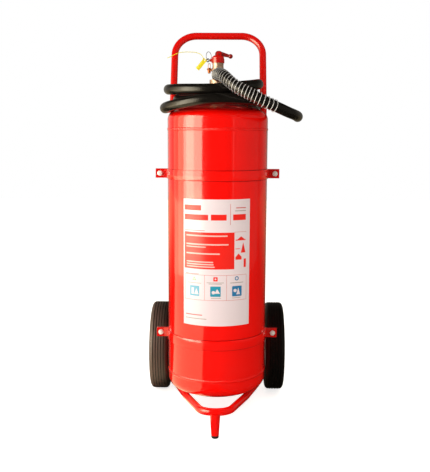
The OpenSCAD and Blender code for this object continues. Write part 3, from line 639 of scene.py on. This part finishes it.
# ---------- materials by slot, and finishes of single nodes ----------
MATERIALS = {
    "red_paint": red_paint(),
    "label_white": label_print(),
    "zinc": metal("zinc", (0.90, 0.90, 0.89), (0.76, 0.75, 0.73), 0.3, metallic=0.3),
    "steel": metal("bright_steel", (0.84, 0.86, 0.92), (0.64, 0.65, 0.70), 0.35, metallic=0.4),
    "nickel_brass": metal(
        "nickel_brass", (0.74, 0.54, 0.42), (0.50, 0.34, 0.24), 0.3, lathe=9000, metallic=0.6
    ),
    "copper": metal("copper", (0.92, 0.37, 0.18), (0.50, 0.17, 0.07), 0.32),
    "brass": metal("brass", (0.75, 0.55, 0.25), (0.55, 0.36, 0.14), 0.3, lathe=6000),
    "black_rubber": plain("black_rubber", (0.014, 0.013, 0.012), (0.024, 0.022, 0.020), 0.55),
    "tyre_rubber": tyre_rubber(),
    "rim_grey": plain("rim_grey", (0.36, 0.37, 0.38), (0.28, 0.28, 0.29), 0.4, coat=0.2),
    "nylon": plain("nylon", (0.72, 0.66, 0.50), (0.62, 0.55, 0.40), 0.5),
    "black_plastic": plain("black_plastic", (0.018, 0.018, 0.019), (0.03, 0.03, 0.03), 0.4),
    "yellow_plastic": plain("yellow_plastic", (0.80, 0.70, 0.010), (0.74, 0.62, 0.008), 0.35),
    "dull_steel": metal("dull_steel", (0.34, 0.33, 0.33), (0.20, 0.19, 0.18), 0.4),
    "white_plastic": plain("white_plastic", (0.78, 0.78, 0.76), (0.70, 0.70, 0.67), 0.45),
}
SPECIAL = {
    "weld_beads": weld_paint(),
    "lever_arm": shaded_red("lever_paint"),
    # The cap and the bent tube take the vessel's red painted darker as painted shade
    "valve_cap": shaded_deep_paint("cap_paint", (0.56, 0.004, 0.002), 0.6),
    "handle_frame": shaded_deep_paint("tube_paint", (0.70, 0.0024, 0.0006), 0.9),
    "nozzle_trigger": shaded_red("trigger_paint"),
}
SPECIAL["lever_knob"] = SPECIAL["lever_arm"]
SPECIAL["lever_axle"] = SPECIAL["lever_arm"]
SLOTS = {part["node"]: part["material_slot"] for part in frame["record"]["subparts"]}


def material_of(name):
    return SPECIAL.get(name, MATERIALS[SLOTS[name]])


def dress_nodes():
    for name, node in frame["nodes"].items():
        material = material_of(name)
        if not node.data.materials:
            node.data.materials.append(material)
        for slot in node.material_slots:
            slot.material = material


dress_nodes()


# ---------- making pieces ----------
SHARP = math.radians(32)


def finish_piece(piece, name, material, slot, body, *nodes):
    """Names a piece, gives it its finish and its body, and hides the nodes that it stands for."""
    piece.name = name
    piece.data.name = name
    piece.data.materials.clear()
    piece.data.materials.append(material)
    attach(piece, body)
    if nodes:
        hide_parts(*nodes)
    return piece


def select_only(piece):
    bpy.ops.object.select_all(action="DESELECT")
    piece.hide_set(False)
    piece.select_set(True)
    bpy.context.view_layer.objects.active = piece


def spline_value(points, place):
    """Smooth value of a list of points between its stations, as the solids follow it."""
    last = len(points) - 1
    i = min(int(math.floor(place)), last - 1)
    f = place - i
    b = points[i]
    c = points[min(last, i + 1)]
    a = points[i - 1] if i > 0 else 2 * points[0] - points[1]
    d = points[i + 2] if i + 2 <= last else 2 * c - b
    return 0.5 * (
        2 * b
        + (c - a) * f
        + (2 * a - 5 * b + 4 * c - d) * f * f
        + (3 * b - a - 3 * c + d) * f * f * f
    )


def smooth_path(points, per_station):
    count = (len(points) - 1) * per_station
    return [spline_value(points, k / per_station) for k in range(count + 1)]


def even_path(path, step):
    """The same path with points about one step apart."""
    out = [path[0]]
    gone = 0.0
    for a, b in zip(path, path[1:]):
        gap = (b - a).length
        while gone + gap >= step:
            a = a + (b - a) * ((step - gone) / gap)
            gap = (b - a).length
            out.append(a)
            gone = 0.0
        gone += gap
    out.append(path[-1])
    return out


def tube_points(path, radius, sides, side):
    """Rings of points round a path. The first starts towards side, and none twists."""
    last = len(path) - 1
    normal = side
    points = []
    for i, point in enumerate(path):
        tangent = (path[min(last, i + 1)] - path[max(0, i - 1)]).normalized()
        normal = (normal - tangent * normal.dot(tangent)).normalized()
        other = tangent.cross(normal)
        for k in range(sides):
            a = 2 * math.pi * k / sides
            points.append(point + (normal * math.cos(a) + other * math.sin(a)) * radius)
    return points


def tube_faces(spans, sides):
    """The walls from ring to ring, and then the two end caps."""
    faces = []
    for i in range(spans):
        for k in range(sides):
            here = i * sides + k
            beside = i * sides + (k + 1) % sides
            faces.append((here, beside, beside + sides, here + sides))
    faces.append(tuple(range(sides))[::-1])
    faces.append(tuple(spans * sides + k for k in range(sides)))
    return faces


def map_walls(mesh, path, sides):
    """UV map of a tube: U runs from 0 to 1 round it, and V in metres along it."""
    uv = mesh.uv_layers.new(name="surface")
    lengths = [0.0]
    for a, b in zip(path, path[1:]):
        lengths.append(lengths[-1] + (b - a).length)
    for face in range((len(path) - 1) * sides):
        i, k = divmod(face, sides)
        corners = ((k, i), (k + 1, i), (k + 1, i + 1), (k, i + 1))
        for loop, (across, along) in enumerate(corners):
            uv.data[face * 4 + loop].uv = (across / sides, lengths[along])


def tube(path, radius, sides, side, name):
    """Closed tube along a path, smooth on its walls and sharp at its ends."""
    faces = tube_faces(len(path) - 1, sides)
    mesh = bpy.data.meshes.new(name)
    mesh.from_pydata(tube_points(path, radius, sides, side), [], faces)
    map_walls(mesh, path, sides)
    mesh.polygons.foreach_set("use_smooth", [True] * (len(faces) - 2) + [False] * 2)
    mesh.update()
    piece = bpy.data.objects.new(name, mesh)
    bpy.context.scene.collection.objects.link(piece)
    return piece


def ease_edges(piece, width, limit):
    """Rounds the edges sharper than the limit, and shades the rest smooth."""
    edge = piece.modifiers.new("edge", "BEVEL")
    edge.width = width
    edge.segments = 2
    edge.limit_method = "ANGLE"
    edge.angle_limit = limit
    bpy.ops.object.modifier_apply(modifier="edge")
    bpy.ops.object.shade_smooth_by_angle(angle=SHARP)


# ---------- solids with eased edges ----------
BODY_OF = {
    node: body
    for body, nodes in frame["record"]["behaviour"]["bodies"].items()
    for node in nodes
}
MERGE = 0.000002
FLAT = math.radians(0.5)


def eased(node, width):
    """A copy of a solid with its hard edges eased, shown in place of the solid."""
    source = frame["nodes"][node]
    mesh = source.data.copy()
    mesh.transform(source.matrix_world)
    name = node + "_eased"
    piece = bpy.data.objects.new(name, mesh)
    bpy.context.scene.collection.objects.link(piece)
    select_only(piece)
    bpy.ops.object.mode_set(mode="EDIT")
    bpy.ops.mesh.select_all(action="SELECT")
    bpy.ops.mesh.remove_doubles(threshold=MERGE)
    bpy.ops.mesh.dissolve_limited(angle_limit=FLAT)
    bpy.ops.object.mode_set(mode="OBJECT")
    ease_edges(piece, width, SHARP)
    return finish_piece(piece, name, material_of(node), SLOTS[node], BODY_OF[node], node)


# Each solid with the width of its eased edges
EASED = {
    "valve_body": 0.0006,
    "valve_cap": 0.0009,
    "lever_arm": 0.0008,
    "outlet_coupling": 0.0008,
    "relief_fitting": 0.0004,
    "neck_collar": 0.0008,
    "nozzle_clip": 0.0005,
    "upper_band_front": 0.00012,
    "upper_band_rear": 0.00012,
    "lower_band_front": 0.00012,
    "lower_band_rear": 0.00012,
    "band_bolts": 0.0006,
    "band_washers": 0.0003,
    "band_nuts": 0.0006,
    "axle_bracket_left": 0.0008,
    "axle_bracket_right": 0.0008,
    "axle": 0.0008,
    "axle_washers": 0.0004,
    "axle_spacers": 0.0004,
    "rim_left": 0.0008,
    "rim_right": 0.0008,
    "bush_left": 0.0006,
    "bush_right": 0.0006,
    "safety_pin": 0.0004,
    "seal_tag": 0.0004,
}
for solid, edge_width in EASED.items():
    eased(solid, edge_width)


# ---------- crimped ferrules ----------
FERRULE_L = 0.034
FERRULE_R = 0.0175
FERRULE_SIDES = 64
CRIMPS = 4
CRIMP_END = 0.004
CRIMP_DEEP = 0.0011
# The share of a crimp's depth at each share of its pitch
CRIMP_SHAPE = {0.1: 0, 0.22: 0.7, 0.36: 1, 0.64: 1, 0.78: 0.7, 0.9: 0}
LIP = 0.0006
LIP_BEND = math.radians(60)
OUTER_WALL = FERRULE_R * 0.95
LEAD_BORE = 0.01502
TAIL_BORE = 0.002
NEAR = 0.00002


def select_points(piece, test):
    """Selects the points whose place passes a test."""
    bpy.ops.mesh.select_mode(type="VERT")
    bpy.ops.mesh.select_all(action="DESELECT")
    mesh = bmesh.from_edit_mesh(piece.data)
    for vert in mesh.verts:
        vert.select_set(test(vert.co))
    mesh.select_flush_mode()
    bmesh.update_edit_mesh(piece.data)


def select_caps(piece):
    """Selects the two flat ends of an upright cylinder."""
    bpy.ops.mesh.select_mode(type="FACE")
    bpy.ops.mesh.select_all(action="DESELECT")
    mesh = bmesh.from_edit_mesh(piece.data)
    for face in mesh.faces:
        face.select_set(abs(face.normal.z) > 0.5)
    bmesh.update_edit_mesh(piece.data)


def sleeve(bore):
    """Bored cylinder round the origin, left in edit mode."""
    bpy.ops.object.select_all(action="DESELECT")
    bpy.ops.mesh.primitive_cylinder_add(
        vertices=FERRULE_SIDES, radius=FERRULE_R, depth=FERRULE_L, location=(0, 0, 0)
    )
    piece = bpy.context.object
    bpy.ops.object.mode_set(mode="EDIT")
    select_caps(piece)
    bpy.ops.mesh.inset(thickness=FERRULE_R - bore)
    bpy.ops.mesh.bridge_edge_loops()
    return piece


def draw_in(piece, height, depth):
    """Cuts the sleeve in hand at a height, and draws its outer wall in there."""
    bpy.ops.mesh.select_all(action="SELECT")
    bpy.ops.mesh.bisect(plane_co=(0, 0, height), plane_no=(0, 0, 1))
    select_points(piece, lambda co: abs(co.z - height) < NEAR and co.xy.length > OUTER_WALL)
    shrink = 1 - depth / FERRULE_R
    bpy.ops.transform.resize(value=(shrink, shrink, 1), center_override=(0, 0, 0))


def crimped_ferrule(name, node, bore, place):
    """Bored sleeve with crimped grooves and a rounded lip at each end."""
    piece = sleeve(bore)
    pitch = (FERRULE_L - 2 * CRIMP_END) / CRIMPS
    first = CRIMP_END - FERRULE_L / 2
    for k in range(CRIMPS):
        for share, depth in CRIMP_SHAPE.items():
            draw_in(piece, first + (k + share) * pitch, CRIMP_DEEP * depth)
    bpy.ops.object.mode_set(mode="OBJECT")
    ease_edges(piece, LIP, LIP_BEND)
    piece.data.transform(place)
    return finish_piece(piece, name, MATERIALS["dull_steel"], "dull_steel", "root", node)


def make_ferrules():
    """The sleeves at the two ends of the hose; the first lies along Y."""
    lay_down = Matrix.Rotation(math.pi / 2, 4, "X")
    at_valve = Matrix.Translation(middle("hose_ferrule")) @ lay_down
    at_nozzle = Matrix.Translation(middle("nozzle_ferrule"))
    return [
        crimped_ferrule("lead_ferrule", "hose_ferrule", LEAD_BORE, at_valve),
        crimped_ferrule("tail_ferrule", "nozzle_ferrule", TAIL_BORE, at_nozzle),
    ]


# ---------- seal tail ----------
TAIL_STRAP = [
    (-0.013, -0.002, 0.002), (-0.016, -0.0024, 0.011), (-0.024, -0.003, 0.018),
    (-0.036, -0.004, 0.022), (-0.052, -0.005, 0.023), (-0.068, -0.005, 0.023),
    (-0.084, -0.005, 0.021), (-0.098, -0.004, 0.016), (-0.110, -0.003, 0.010),
    (-0.120, -0.002, 0.006),
]
EYE = (-0.030, -0.0026, 1.075)
STRAP_R = 0.0009
STRAP_SIDES = 10
STRAP_STEPS = 8


def make_strap():
    """Thin plastic tail that arches out to the left of the safety pin's eye."""
    eye = on_stand(EYE)
    path = smooth_path([eye + Vector(point) for point in TAIL_STRAP], STRAP_STEPS)
    strap = tube(path, STRAP_R, STRAP_SIDES, Vector((0, 1, 0)), "seal_strap")
    yellow = MATERIALS["yellow_plastic"]
    finish_piece(strap, "seal_strap", yellow, "yellow_plastic", "pin", "seal_tail")


make_strap()


# ---------- return spring inside the valve ----------
SPRING_R = 0.0065
SPRING_WIRE_R = 0.0008
SPRING_CURLS = 5
SPRING_RINGS = 24
SPRING_SIDES = 10


def make_spring():
    """Coil spring that stands on its lower end, made at one length; the real one shortens as the
    stem goes down.
    """
    low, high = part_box("valve_spring")
    length = high.z - low.z
    rise = length - 2 * SPRING_WIRE_R
    count = SPRING_CURLS * SPRING_RINGS
    path = []
    for k in range(count + 1):
        a = 2 * math.pi * k / SPRING_RINGS
        height = low.z + SPRING_WIRE_R + rise * k / count
        path.append(on_stand((SPRING_R * math.cos(a), SPRING_R * math.sin(a), height)))
    spring = tube(path, SPRING_WIRE_R, SPRING_SIDES, Vector((0, 0, 1)), "return_spring")
    finish_piece(spring, "return_spring", MATERIALS["steel"], "steel", "root", "valve_spring")
    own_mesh(spring)


make_spring()


# ---------- hose: its first stretch, its coil and its hanging tail ----------
HOSE_D = 0.030
LEAD_START = Vector((0, -0.048, 1.028))
# The first stretch lies in a plane that slopes down to the right: across, back, lift
LEAD_SLOPE = math.radians(26.7)
LEAD_FLAT = [
    (0, -0.048, 0), (0, -0.072, 0), (0.003, -0.101, 0.001), (0.012, -0.132, 0.001),
    (0.024, -0.156, -0.002), (0.041, -0.174, -0.009), (0.065, -0.186, -0.014),
    (0.093, -0.192, -0.015), (0.122, -0.193, -0.015), (0.158, -0.187, -0.014),
    (0.192, -0.172, -0.011), (0.222, -0.148, -0.008), (0.244, -0.116, -0.004),
    (0.258, -0.078, -0.001), (0.263, -0.039, 0), (0.263, -0.008, 0.003),
    (0.258, 0.026, 0.005), (0.245, 0.058, 0.008), (0.225, 0.086, 0.009),
    (0.198, 0.110, 0.008), (0.166, 0.127, 0.006), (0.131, 0.133, 0.004),
]
LEAD_RISE = [(0.090, 0.138, 0.983), (0.066, 0.142, 0.992)]
LEAD_STRAIGHT = 0.025
COIL_X = -0.010
COIL_Y = -0.010
COIL_FIRST = math.radians(90)
EIGHTH = math.radians(45)
# Distance from the coil's middle and height above the dome, at each eighth of a turn
COIL_R = [
    0.146, 0.143, 0.136, 0.132, 0.130, 0.130, 0.130, 0.123,
    0.115, 0.111, 0.108, 0.108, 0.112, 0.117, 0.120, 0.119,
    0.118, 0.131, 0.146, 0.148, 0.145, 0.147, 0.141, 0.144,
]
COIL_Z = [
    0.038, 0.039, 0.030, 0.026, 0.025, 0.036, 0.046, 0.042,
    0.032, 0.017, 0.001, -0.004, -0.002, 0.007, 0.015, 0.010,
    -0.002, -0.011, -0.025, -0.017, -0.002, -0.003, -0.010, -0.010,
]
CROWN_R = 0.300
COLLAR_R = width_of("neck_collar") / 2
DOME_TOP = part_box("head_top")[1].z + CROWN_R - math.sqrt(CROWN_R ** 2 - COLLAR_R ** 2)
TAIL_ROUTE = [
    (0.062, 0.133, 0.949), (0.051, 0.152, 0.945), (0.042, 0.172, 0.934),
    (0.035, 0.189, 0.915), (0.031, 0.201, 0.890), (0.030, 0.206, 0.860),
    (0.033, 0.207, 0.825), (0.043, 0.204, 0.774), (0.060, 0.198, 0.715),
    (0.078, 0.192, 0.660), (0.094, 0.186, 0.600), (0.104, 0.182, 0.540),
    (0.108, 0.180, 0.480), (0.108, 0.180, 0.420), (0.108, 0.180, 0.370),
    (0.108, 0.180, 0.325), (0.101, 0.180, 0.275), (0.077, 0.180, 0.231),
    (0.037, 0.180, 0.201), (-0.010, 0.180, 0.191), (-0.057, 0.180, 0.201),
    (-0.097, 0.180, 0.231), (-0.121, 0.180, 0.275), (-0.128, 0.180, 0.325),
    (-0.128, 0.180, 0.370), (-0.128, 0.180, 0.420), (-0.128, 0.180, 0.480),
    (-0.128, 0.180, 0.540), (-0.128, 0.180, 0.570), (-0.128, 0.180, 0.600),
]
HOSE_STEP = 0.0035
HOSE_SIDES = 28
PER_STATION = 12
PER_EIGHTH = 24


def coil_turns(per_eighth):
    """Points along the coil, a number of them to each eighth of a turn."""
    radii = [Vector((r, z, 0)) for r, z in zip(COIL_R, COIL_Z)]
    points = []
    for k in range((len(COIL_R) - 1) * per_eighth + 1):
        eighths = k / per_eighth
        value = spline_value(radii, eighths)
        a = COIL_FIRST + EIGHTH * eighths
        points.append(on_stand((
            COIL_X + value.x * math.cos(a),
            COIL_Y + value.x * math.sin(a),
            DOME_TOP + value.y,
        )))
    return points


# The coil's ends run on straight for one diameter, as those of its solid do
COIL_PER_EIGHTH = 3
COIL_LINE = coil_turns(COIL_PER_EIGHTH)
COIL_IN_DIR = (COIL_LINE[1] - COIL_LINE[0]).normalized()
COIL_OUT_DIR = (COIL_LINE[-1] - COIL_LINE[-2]).normalized()
COIL_IN = COIL_LINE[0] - COIL_IN_DIR * HOSE_D
COIL_OUT = COIL_LINE[-1] + COIL_OUT_DIR * HOSE_D
LEAD_POINTS = [
    on_stand((
        LEAD_START.x + across * math.cos(LEAD_SLOPE),
        back,
        LEAD_START.z - across * math.sin(LEAD_SLOPE) + lift,
    ))
    for across, back, lift in LEAD_FLAT
]
LEAD_POINTS += [on_stand(point) for point in LEAD_RISE]
LEAD_POINTS += [COIL_IN - COIL_IN_DIR * LEAD_STRAIGHT, COIL_IN]
SLOPE_NORMAL = Vector((math.sin(LEAD_SLOPE), 0, math.cos(LEAD_SLOPE)))


def hose_route():
    tail = [COIL_OUT] + [on_stand(point) for point in TAIL_ROUTE]
    route = smooth_path(LEAD_POINTS, PER_STATION)
    route += coil_turns(PER_EIGHTH)
    route += smooth_path(tail, PER_STATION)
    return even_path(route, HOSE_STEP)


def make_hose():
    route = hose_route()
    hose = tube(route, HOSE_D / 2, HOSE_SIDES, SLOPE_NORMAL, "hose")
    finish_piece(
        hose, "hose", hose_rubber(), "black_rubber", "root",
        "hose_lead", "hose_coil", "hose_tail",
    )
    return hose, route


# ---------- wire guard round the first stretch ----------
WIRE_D = 0.0019
GUARD_R = 0.017
GUARD_CURLS = 25
# Where it starts and ends, counted in stations of the first stretch
GUARD_FIRST = 1.5
GUARD_LAST = 9.7
GUARD_RINGS = 28
GUARD_SIDES = 10
# Share of a station over which the hose's direction is taken
LOOK = 0.02


def make_guard():
    """Helix of wire round the first stretch of the hose."""
    count = GUARD_CURLS * GUARD_RINGS
    path = []
    for k in range(count + 1):
        place = GUARD_FIRST + (GUARD_LAST - GUARD_FIRST) * k / count
        behind = spline_value(LEAD_POINTS, place - LOOK)
        ahead = spline_value(LEAD_POINTS, place + LOOK)
        side = SLOPE_NORMAL.cross((ahead - behind).normalized())
        a = 2 * math.pi * k / GUARD_RINGS
        out = side * math.cos(a) + SLOPE_NORMAL * math.sin(a)
        path.append(spline_value(LEAD_POINTS, place) + out * GUARD_R)
    guard = tube(path, WIRE_D / 2, GUARD_SIDES, SLOPE_NORMAL, "guard_wire")
    return finish_piece(guard, "guard_wire", guard_steel(), "steel", "root", "spring_guard")


hose, hose_line = make_hose()
guard_wire = make_guard()
ferrules = make_ferrules()
tuple(hose_line[0])
[tuple(point) for point in hose_line]


# ---------- floor, lamps and background ----------
FLOOR_SIZE = 14
FLOOR_DROP = 0.0004
FLOOR_GLOW = 0.75
FLOOR_WHITE = (0.86, 0.86, 0.86)
WARM = (1.0, 0.93, 0.80)
GLOSS_WARM = (1.0, 0.80, 0.48)
EDGE_WARM = (1.0, 0.82, 0.52)
KEY_WARM = (1.0, 0.89, 0.66)
# In gloss the floor is lit in a sector below the key lamps, and dimly far behind
LIT_FROM = math.radians(-112)
LIT_TO = math.radians(-28.5)
LIT_LEVEL = 1.3
FAR_START = 1.0
FAR_END = 3.5
FAR_LEVEL = 0.2
FAR_LEFT_MORE = 0.3
DIM_LEVEL = 0.02


def floor_in_gloss(finish):
    """Level of the floor's glow as the object's gloss sees it."""
    x, y, _ = finish.axes()
    lit = x.math("ARCTAN2", AXIS_Y - y).between(LIT_FROM, LIT_TO)
    far = y.ramp(FAR_START, FAR_END, 0, 1) * ((x < 0) * FAR_LEFT_MORE + FAR_LEVEL)
    return lit * LIT_LEVEL + far + DIM_LEVEL


def make_floor():
    """White floor that takes the object's shadow, with its own glow for the eye and for gloss."""
    bpy.ops.object.select_all(action="DESELECT")
    bpy.ops.mesh.primitive_plane_add(size=FLOOR_SIZE, location=(0, 0, -FLOOR_DROP))
    floor = bpy.context.object
    floor.name = "floor"
    finish = Finish("floor_white", FLOOR_WHITE, 0.9)
    in_gloss = finish.ray("Is Glossy Ray")
    level = finish.ray("Is Camera Ray") * FLOOR_GLOW + in_gloss * floor_in_gloss(finish)
    tint = finish.mix(in_gloss, (1, 1, 1), GLOSS_WARM)
    glow = finish.add("ShaderNodeEmission", None, {"Color": tint, "Strength": level})
    matt = finish.add("ShaderNodeMixShader", None, {0: in_gloss, 1: finish.shader.outputs[0]})
    both = finish.add("ShaderNodeAddShader", None, {0: matt.outputs[0], 1: glow.outputs[0]})
    output = finish.tree.nodes["Material Output"]
    finish.feed(output.inputs["Surface"], both.outputs[0])
    floor.data.materials.append(finish.material)


def around(angle, distance, height):
    """A place seen from the vessel's axis; angle 0 is in front, positive to the right."""
    a = math.radians(angle)
    return on_stand((distance * math.sin(a), -distance * math.cos(a), height))


def make_lamp(name, lights, place, target, size, power, color):
    """Area lamp on both kinds of surface, or only in gloss, or only on matt ones."""
    data = bpy.data.lights.new(name, "AREA")
    data.shape = "RECTANGLE"
    data.size, data.size_y = size
    data.energy = power
    data.color = color
    lamp = bpy.data.objects.new(name, data)
    bpy.context.scene.collection.objects.link(lamp)
    lamp.rotation_euler = (target - place).to_track_quat("-Z", "Y").to_euler()
    lamp.location = place
    lamp.visible_camera = False
    lamp.visible_diffuse = lights != "gloss"
    lamp.visible_glossy = lights != "matt"


LAMP_AIM = around(0, 0, 1.08)
TOP_AIM = on_stand((0, 0, 0.95))
TOP_PLACE = on_stand((1.10, -0.2, 2.37))
# Name, what it lights, place, aim, size, power, colour
LAMPS = [
    ("key", "gloss", around(-56.5, 1.8, 1.08), LAMP_AIM, (1.565, 1.95), 50, KEY_WARM),
    ("key_core", "gloss", around(-62, 1.8, 1.08), LAMP_AIM, (0.635, 1.95), 10, KEY_WARM),
    ("key_edge", "gloss", around(-88.5, 1.8, 1.08), LAMP_AIM, (0.538, 1.95), 7, EDGE_WARM),
    ("key_far", "gloss", around(-106, 1.8, 1.08), LAMP_AIM, (0.57, 1.95), 2.4, EDGE_WARM),
    ("key_soft", "matt", around(-45, 1.9, 1.15), LAMP_AIM, (1.42, 2.2), 39, WARM),
    ("side_soft", "matt", around(-97, 1.8, 1.15), LAMP_AIM, (1.2, 2.2), 8, WARM),
    ("fill", "both", around(72, 2.2, 1.15), LAMP_AIM, (2.8, 2.2), 2, WARM),
    ("soft_fill", "matt", around(88, 2.4, 1.15), LAMP_AIM, (2.6, 2.0), 2, WARM),
    ("top", "matt", TOP_PLACE, TOP_AIM, (1.8, 1.2), 9, WARM),
    ("strip", "both", around(35.5, 1.8, 1.15), LAMP_AIM, (0.10, 1.7), 0.2, WARM),
]


# The room: even on matt surfaces. In gloss it is dark in front and overhead, and
# brighter behind the object, most of all on the left
ROOM_EVEN = 0.64
ROOM_FRONT = 0.009
ROOM_BACK = 0.2
ROOM_BACK_LEFT = 0.5
ROOM_OVERHEAD = 0.1
# Where the room turns from one level to the next, as parts of a direction of length 1
BACK_SPAN = (0.2, 0.9)
LEFT_SPAN = (0, -0.3)
OVERHEAD_SPAN = (0.2, 0.45)


def room_in_gloss(nodes):
    """Level of the room's light as the object's gloss sees it."""
    x, y, z = nodes.axes("Generated")
    back = x.ramp(*LEFT_SPAN, ROOM_BACK, ROOM_BACK_LEFT)
    level = y.ramp(*BACK_SPAN, ROOM_FRONT, back)
    return level * z.ramp(*OVERHEAD_SPAN, 1, ROOM_OVERHEAD)


def make_world():
    """White to the eye, and a room of its own to the surfaces."""
    world = bpy.data.worlds.new("world")
    bpy.context.scene.world = world
    world.use_nodes = True
    nodes = Nodes(world.node_tree)
    white = nodes.tree.nodes["Background"]
    nodes.feed(white.inputs["Color"], (1, 1, 1, 1))
    level = nodes.ray("Is Glossy Ray") * (room_in_gloss(nodes) - ROOM_EVEN) + ROOM_EVEN
    room = nodes.add("ShaderNodeBackground", None, {"Color": (*WARM, 1), "Strength": level})
    shaders = {0: nodes.ray("Is Camera Ray"), 1: room.outputs[0], 2: white.outputs[0]}
    mix = nodes.add("ShaderNodeMixShader", None, shaders)
    nodes.feed(nodes.tree.nodes["World Output"].inputs["Surface"], mix.outputs[0])


make_floor()
for lamp in LAMPS:
    make_lamp(*lamp)
make_world()
bpy.context.scene.view_settings.view_transform = "Standard"
